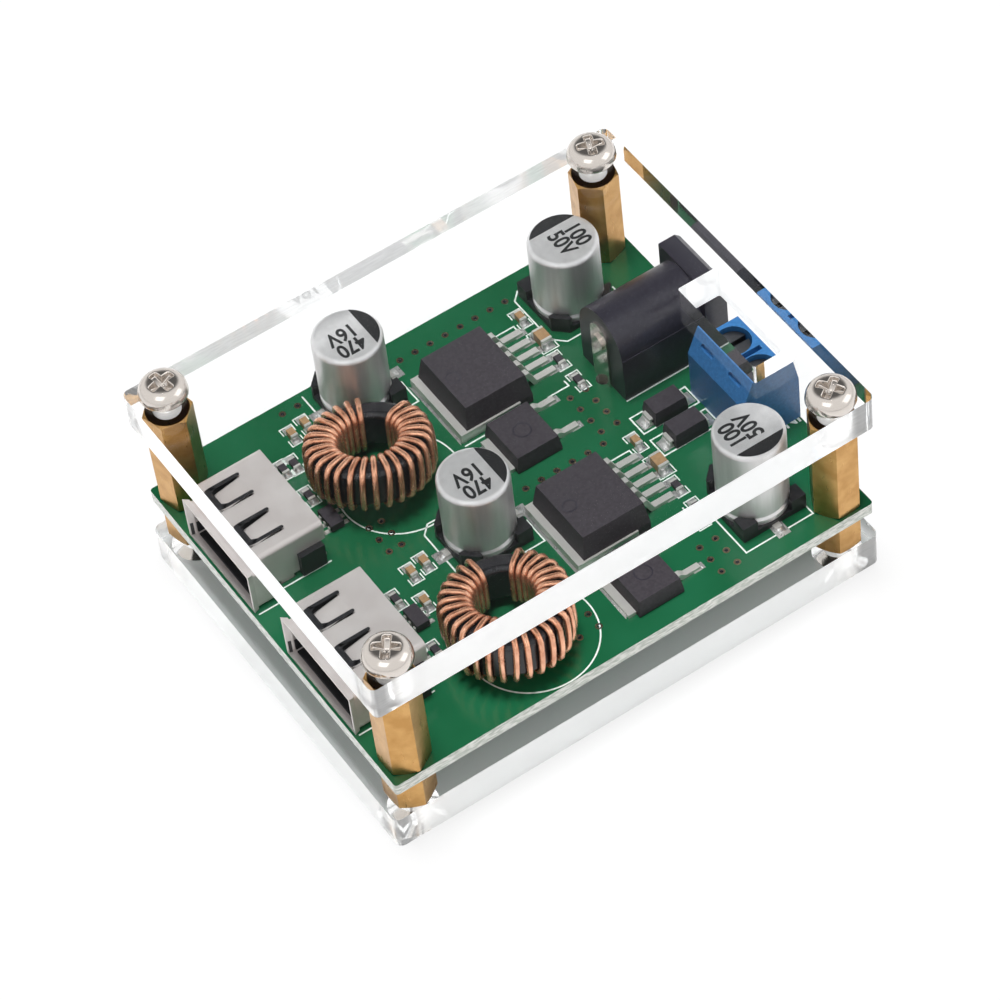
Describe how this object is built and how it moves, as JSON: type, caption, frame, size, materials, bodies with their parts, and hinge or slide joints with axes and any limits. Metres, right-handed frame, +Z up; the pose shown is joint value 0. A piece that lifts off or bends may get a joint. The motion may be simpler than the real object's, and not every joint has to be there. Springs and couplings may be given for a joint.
{
  "type": "buck converter module",
  "caption": "Step-down power module: a circuit board with output sockets, a round DC inlet and a screw terminal, held between clear plates on hexagonal brass standoffs.",
  "frame": {"origin": "centre of the underside of the bottom plate", "axes": "+X along the board from the output sockets to the supply inlets, +Y across the board, +Z up from the bottom plate to the top plate"},
  "size_m": [0.0636, 0.0504, 0.0299],
  "materials": {
    "clear_acrylic": "clear polished sheet with bright cut edges",
    "solder_mask": "green solder mask over copper on both faces",
    "brass": "turned brass",
    "nickel_plate": "bright nickel plate",
    "socket_steel": "tin-plated sheet steel",
    "black_plastic": "matt moulded black",
    "black_gloss": "glossy moulded black",
    "blue_plastic": "moulded blue",
    "black_epoxy": "fine-grained moulded black",
    "gold_contacts": "gold flash",
    "tinned_metal": "bright tin",
    "iron_powder": "black coated iron powder ring",
    "copper_wire": "enamelled copper wire",
    "can_aluminium": "satin drawn can",
    "ceramic": "tan ceramic"
  },
  "bodies": {
    "module": {"bottom_plate": "clear_acrylic", "bottom_screws": "nickel_plate", "charge_chip_bodies": "black_epoxy", "charge_chip_leads": "tinned_metal", "chip_capacitor_bodies": "ceramic", "chip_end_caps": "tinned_metal", "chip_resistor_bodies": "black_epoxy", "circuit_board": "solder_mask", "coil_1_core": "iron_powder", "coil_1_winding": "copper_wire", "coil_2_core": "iron_powder", "coil_2_winding": "copper_wire", "dc_inlet_centre_pin": "nickel_plate", "dc_inlet_housing": "black_gloss", "dc_inlet_rear_terminal": "nickel_plate", "dc_inlet_sleeve_spring": "nickel_plate", "inlet_diode_bodies": "black_epoxy", "inlet_diode_leads": "tinned_metal", "input_capacitor_1_base": "black_plastic", "input_capacitor_1_can": "can_aluminium", "input_capacitor_1_leads": "tinned_metal", "input_capacitor_2_base": "black_plastic", "input_capacitor_2_can": "can_aluminium", "input_capacitor_2_leads": "tinned_metal", "lower_spacers": "brass", "output_capacitor_1_base": "black_plastic", "output_capacitor_1_can": "can_aluminium", "output_capacitor_1_leads": "tinned_metal", "output_capacitor_2_base": "black_plastic", "output_capacitor_2_can": "can_aluminium", "output_capacitor_2_leads": "tinned_metal", "output_diode_1_body": "black_epoxy", "output_diode_1_leads": "tinned_metal", "output_diode_1_tab": "tinned_metal", "output_diode_2_body": "black_epoxy", "output_diode_2_leads": "tinned_metal", "output_diode_2_tab": "tinned_metal", "regulator_1_body": "black_epoxy", "regulator_1_leads": "tinned_metal", "regulator_1_tab": "tinned_metal", "regulator_2_body": "black_epoxy", "regulator_2_leads": "tinned_metal", "regulator_2_tab": "tinned_metal", "terminal_block_housing": "blue_plastic", "terminal_pins": "tinned_metal", "top_plate": "clear_acrylic", "top_screws": "nickel_plate", "upper_standoffs": "brass", "usb_socket_1_contacts": "gold_contacts", "usb_socket_1_insulator": "black_plastic", "usb_socket_1_shell": "socket_steel", "usb_socket_2_contacts": "gold_contacts", "usb_socket_2_insulator": "black_plastic", "usb_socket_2_shell": "socket_steel"},
    "terminal_screw_1": {"terminal_screw_1": "nickel_plate"},
    "terminal_clamp_1": {"terminal_clamp_1": "nickel_plate"},
    "terminal_screw_2": {"terminal_screw_2": "nickel_plate"},
    "terminal_clamp_2": {"terminal_clamp_2": "nickel_plate"}
  },
  "joints": [
    {"name": "terminal_screw_1_turn", "type": "hinge", "parent": "module", "child": "terminal_screw_1", "pos_m": [0.0279, -0.00426, 0.0186], "axis": [0, 0, -1], "range_deg": [0, 1121]},
    {"name": "terminal_clamp_1_lift", "type": "slide", "parent": "module", "child": "terminal_clamp_1", "axis": [0, 0, 1], "range_m": [0, 0.0014]},
    {"name": "terminal_screw_2_turn", "type": "hinge", "parent": "module", "child": "terminal_screw_2", "pos_m": [0.0279, -0.00934, 0.0186], "axis": [0, 0, -1], "range_deg": [0, 1121]},
    {"name": "terminal_clamp_2_lift", "type": "slide", "parent": "module", "child": "terminal_clamp_2", "axis": [0, 0, 1], "range_m": [0, 0.0014]}
  ],
  "couplings": [
    {"joint": "terminal_screw_1_turn", "follows": "terminal_clamp_1_lift", "rad_per_m": 13963},
    {"joint": "terminal_screw_2_turn", "follows": "terminal_clamp_2_lift", "rad_per_m": 13963}
  ]
}
